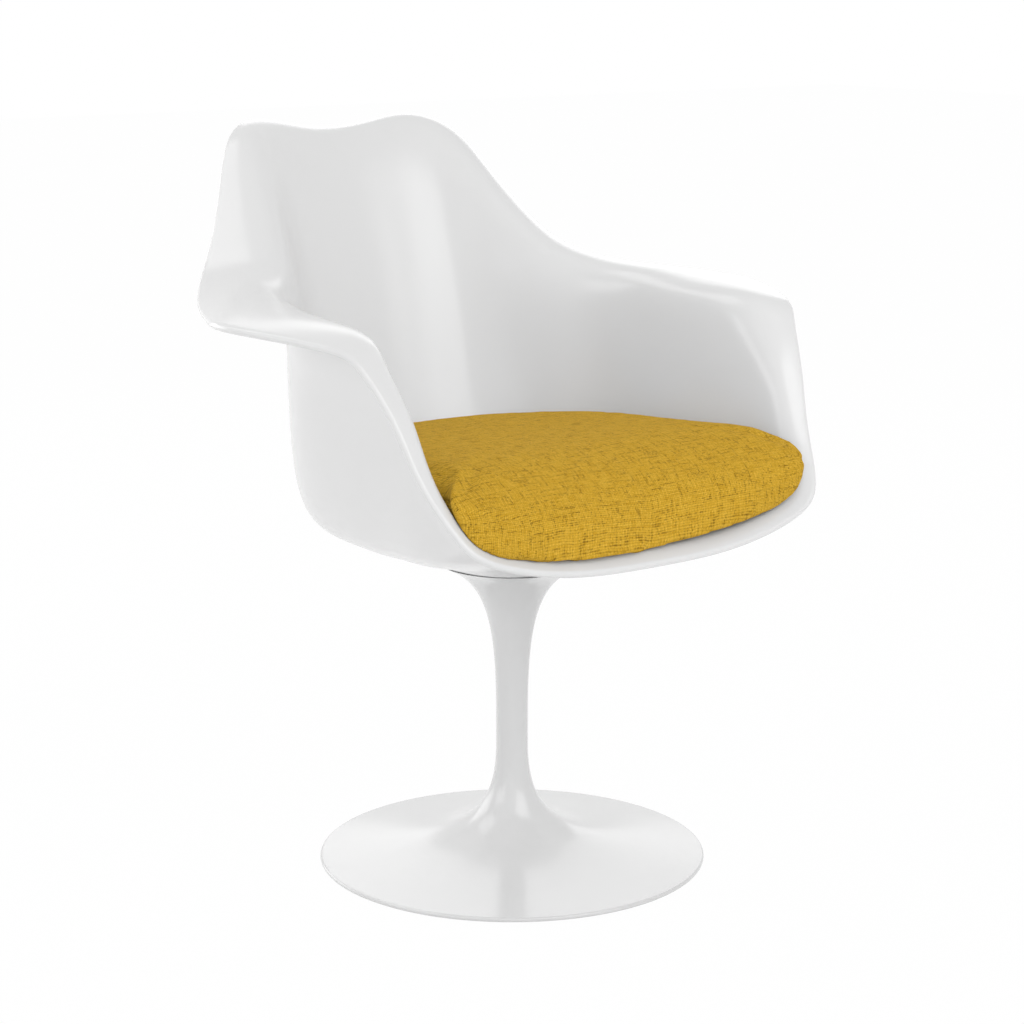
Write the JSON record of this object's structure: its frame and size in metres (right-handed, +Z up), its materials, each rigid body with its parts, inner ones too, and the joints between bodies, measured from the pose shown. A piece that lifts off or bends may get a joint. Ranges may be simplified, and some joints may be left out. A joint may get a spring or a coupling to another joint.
{
  "type": "tulip armchair",
  "caption": "Swivel armchair: white moulded bucket shell with rolled-out arms on a trumpet-shaped pedestal with a round foot, and a yellow woven seat cushion.",
  "frame": {"origin": "on the floor, at the axis of the stem", "axes": "+Z up along the stem, the sitter faces -Y, +X to the sitter's left"},
  "size_m": [0.68, 0.5999, 0.7971],
  "materials": {
    "pedestal_white": "satin white coating",
    "glide_plastic": "grey plastic",
    "bush_plastic": "natural bearing plastic",
    "shell_white": "glossy white gel coat on glass fibre",
    "steel": "zinc-plated steel",
    "nut_nylon": "blue nylon",
    "tape_white": "white hook and loop tape",
    "foam": "pale cut foam",
    "cover_yellow": "coarse mustard-yellow weave",
    "zip_fabric": "woven tape",
    "zip_plastic": "moulded teeth",
    "zip_metal": "plated slider"
  },
  "bodies": {
    "base": {"pedestal": "pedestal_white", "floor_glide_ring": "glide_plastic", "upper_bush": "bush_plastic", "lower_bush": "bush_plastic", "thrust_washer": "bush_plastic"},
    "seat": {"seat_shell": "shell_white", "swivel_flange": "steel", "spindle": "steel", "retaining_washer": "steel", "lock_nut": "steel", "lock_nut_insert": "nut_nylon", "clamp_plate": "steel", "seat_bolts": "steel", "bolt_washers": "steel", "hook_tapes": "tape_white"},
    "cushion": {"cushion_foam": "foam", "cushion_top_panel": "cover_yellow", "cushion_under_panel": "cover_yellow", "zip_tape": "zip_fabric", "zip_teeth": "zip_plastic", "zip_slider": "zip_metal", "loop_tapes": "tape_white"}
  },
  "joints": [
    {"name": "swivel", "type": "hinge", "parent": "base", "child": "seat", "pos_m": [0, 0, 0.335], "axis": [0, 0, 1], "continuous": true},
    {"name": "cushion_lift", "type": "slide", "parent": "seat", "child": "cushion", "axis": [0, 0, 1], "range_m": [0, 0.25]}
  ]
}
